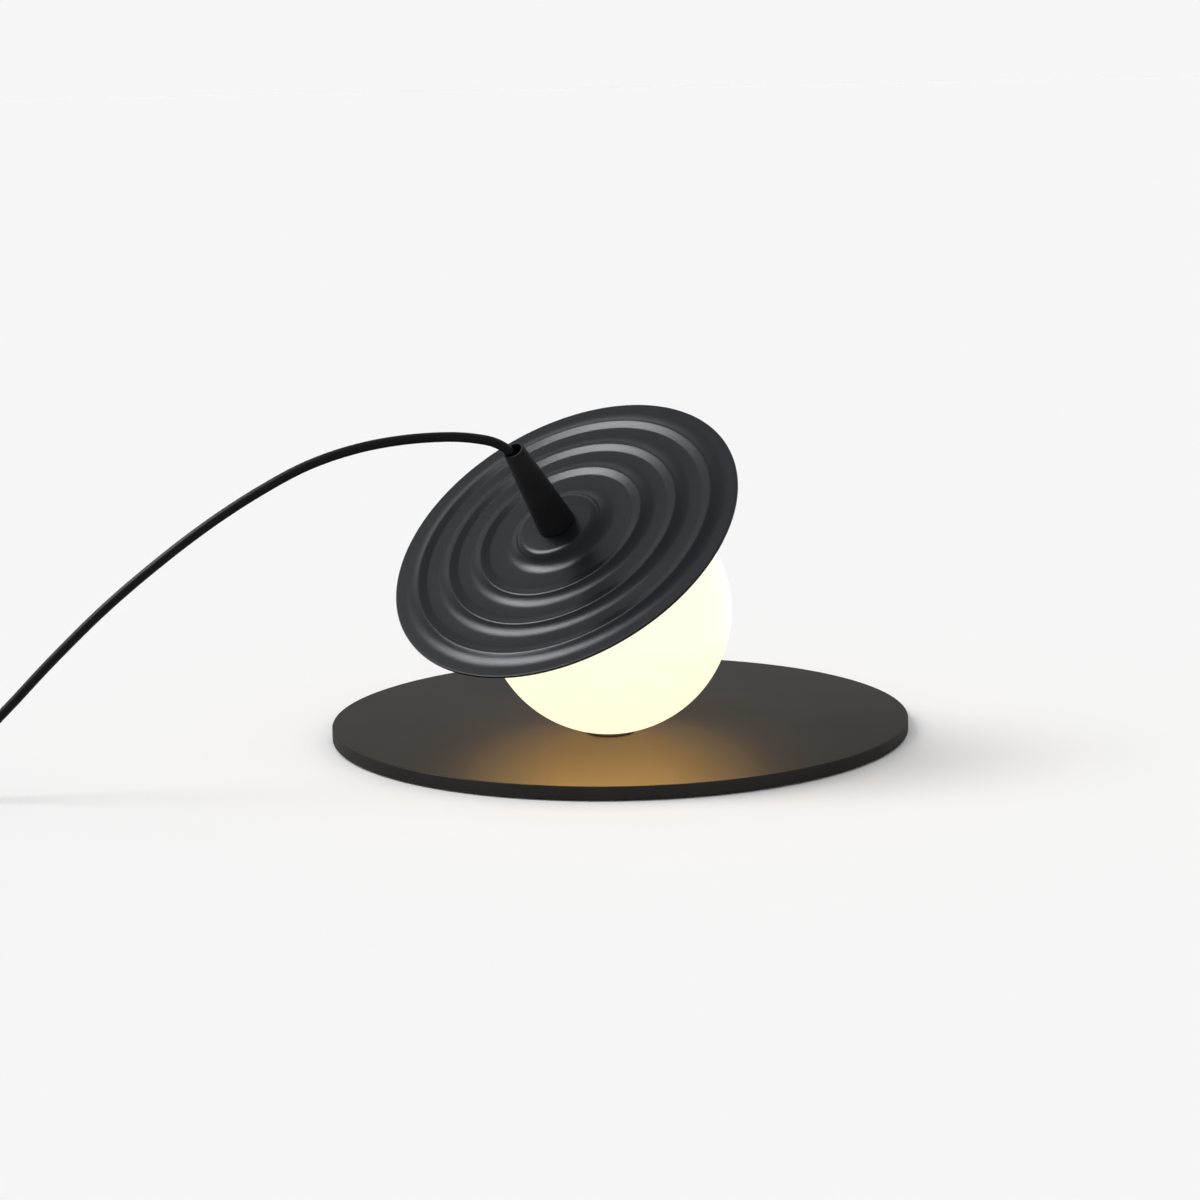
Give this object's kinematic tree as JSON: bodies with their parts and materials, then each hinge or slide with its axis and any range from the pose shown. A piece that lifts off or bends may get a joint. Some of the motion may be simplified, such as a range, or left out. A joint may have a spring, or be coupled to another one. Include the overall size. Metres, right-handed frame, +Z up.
{
  "type": "table lamp",
  "caption": "Table lamp: a leaning rippled disc on an opal glass globe that stands on a thin round plate, with a cone cord outlet and an inline rocker switch.",
  "frame": {"origin": "middle of the foot pad's underside, on the table", "axes": "+Z up, +X to the right as the picture shows the lamp, +Y away from the viewer; the disc's axis leans 38.4 degrees from +Z towards the viewer's near left"},
  "size_m": [0.6175, 0.3, 0.1713],
  "materials": {
    "plate_coat": "satin dark coat on steel plate",
    "disc_coat": "cast, with a dark slate finely textured satin coat",
    "cone_coat": "matt black coat on turned metal",
    "opal_glass": "blown opal glass, smooth, lit from inside",
    "foot_rubber": "matt black",
    "clear_silicone": "milky silicone",
    "zinc_steel": "zinc-plated steel",
    "brass_parts": "plain brass",
    "ceramic": "unglazed white ceramic",
    "lamp_glass": "frosted capsule lamp",
    "black_plastic": "fine matt black moulding",
    "core_brown": "brown insulated core",
    "core_blue": "blue insulated core",
    "cord_jacket": "smooth round black sheath"
  },
  "bodies": {
    "base": {"base_plate": "plate_coat", "base_pad": "foot_rubber", "seat_ring": "foot_rubber", "fixing_screw": "zinc_steel", "clamp_washer": "zinc_steel", "lock_nut": "zinc_steel", "cord_arch": "cord_jacket", "cord_lead": "cord_jacket", "cord_coil": "cord_jacket", "cord_tail": "cord_jacket", "coil_tie": "foot_rubber", "switch_base": "black_plastic", "switch_cover": "black_plastic", "rocker_pin": "zinc_steel", "switch_screw_1": "zinc_steel", "switch_screw_2": "zinc_steel", "switch_terminal_1": "brass_parts", "switch_terminal_2": "brass_parts", "plug_body": "black_plastic", "plug_relief": "foot_rubber", "plug_pin_1": "brass_parts", "plug_pin_2": "brass_parts", "pin_sleeve_1": "black_plastic", "pin_sleeve_2": "black_plastic"},
    "globe": {"glass_globe": "opal_glass", "glass_bush": "clear_silicone", "mouth_gasket": "clear_silicone", "globe_collar": "zinc_steel"},
    "disc": {"ripple_disc": "disc_coat", "socket_dish": "zinc_steel", "threaded_tube": "zinc_steel", "tube_nut": "zinc_steel", "cone_spigot": "zinc_steel", "cord_cone": "cone_coat", "cord_grip": "black_plastic", "grip_screw": "zinc_steel", "holder_bracket": "zinc_steel", "lampholder": "ceramic", "holder_screw_1": "zinc_steel", "holder_screw_2": "zinc_steel", "lamp_capsule": "lamp_glass", "lamp_pin_1": "zinc_steel", "lamp_pin_2": "zinc_steel", "core_live": "core_brown", "core_neutral": "core_blue"},
    "rocker": {"switch_rocker": "black_plastic"}
  },
  "joints": [
    {"name": "head_swivel", "type": "hinge", "parent": "base", "child": "globe", "pos_m": [-0.0052, -0.0354, 0], "axis": [0, 0, 1], "range_deg": [-45, 45], "deforming": ["cord_arch"]},
    {"name": "disc_bayonet", "type": "hinge", "parent": "globe", "child": "disc", "pos_m": [-0.0052, -0.0354, 0.0703], "axis": [-0.3841, -0.4881, 0.7837], "range_deg": [-60, 0]},
    {"name": "rocker_tilt", "type": "hinge", "parent": "base", "child": "rocker", "pos_m": [-0.383, -0.122, 0.014], "axis": [0, 1, 0], "range_deg": [-18, 0]}
  ]
}
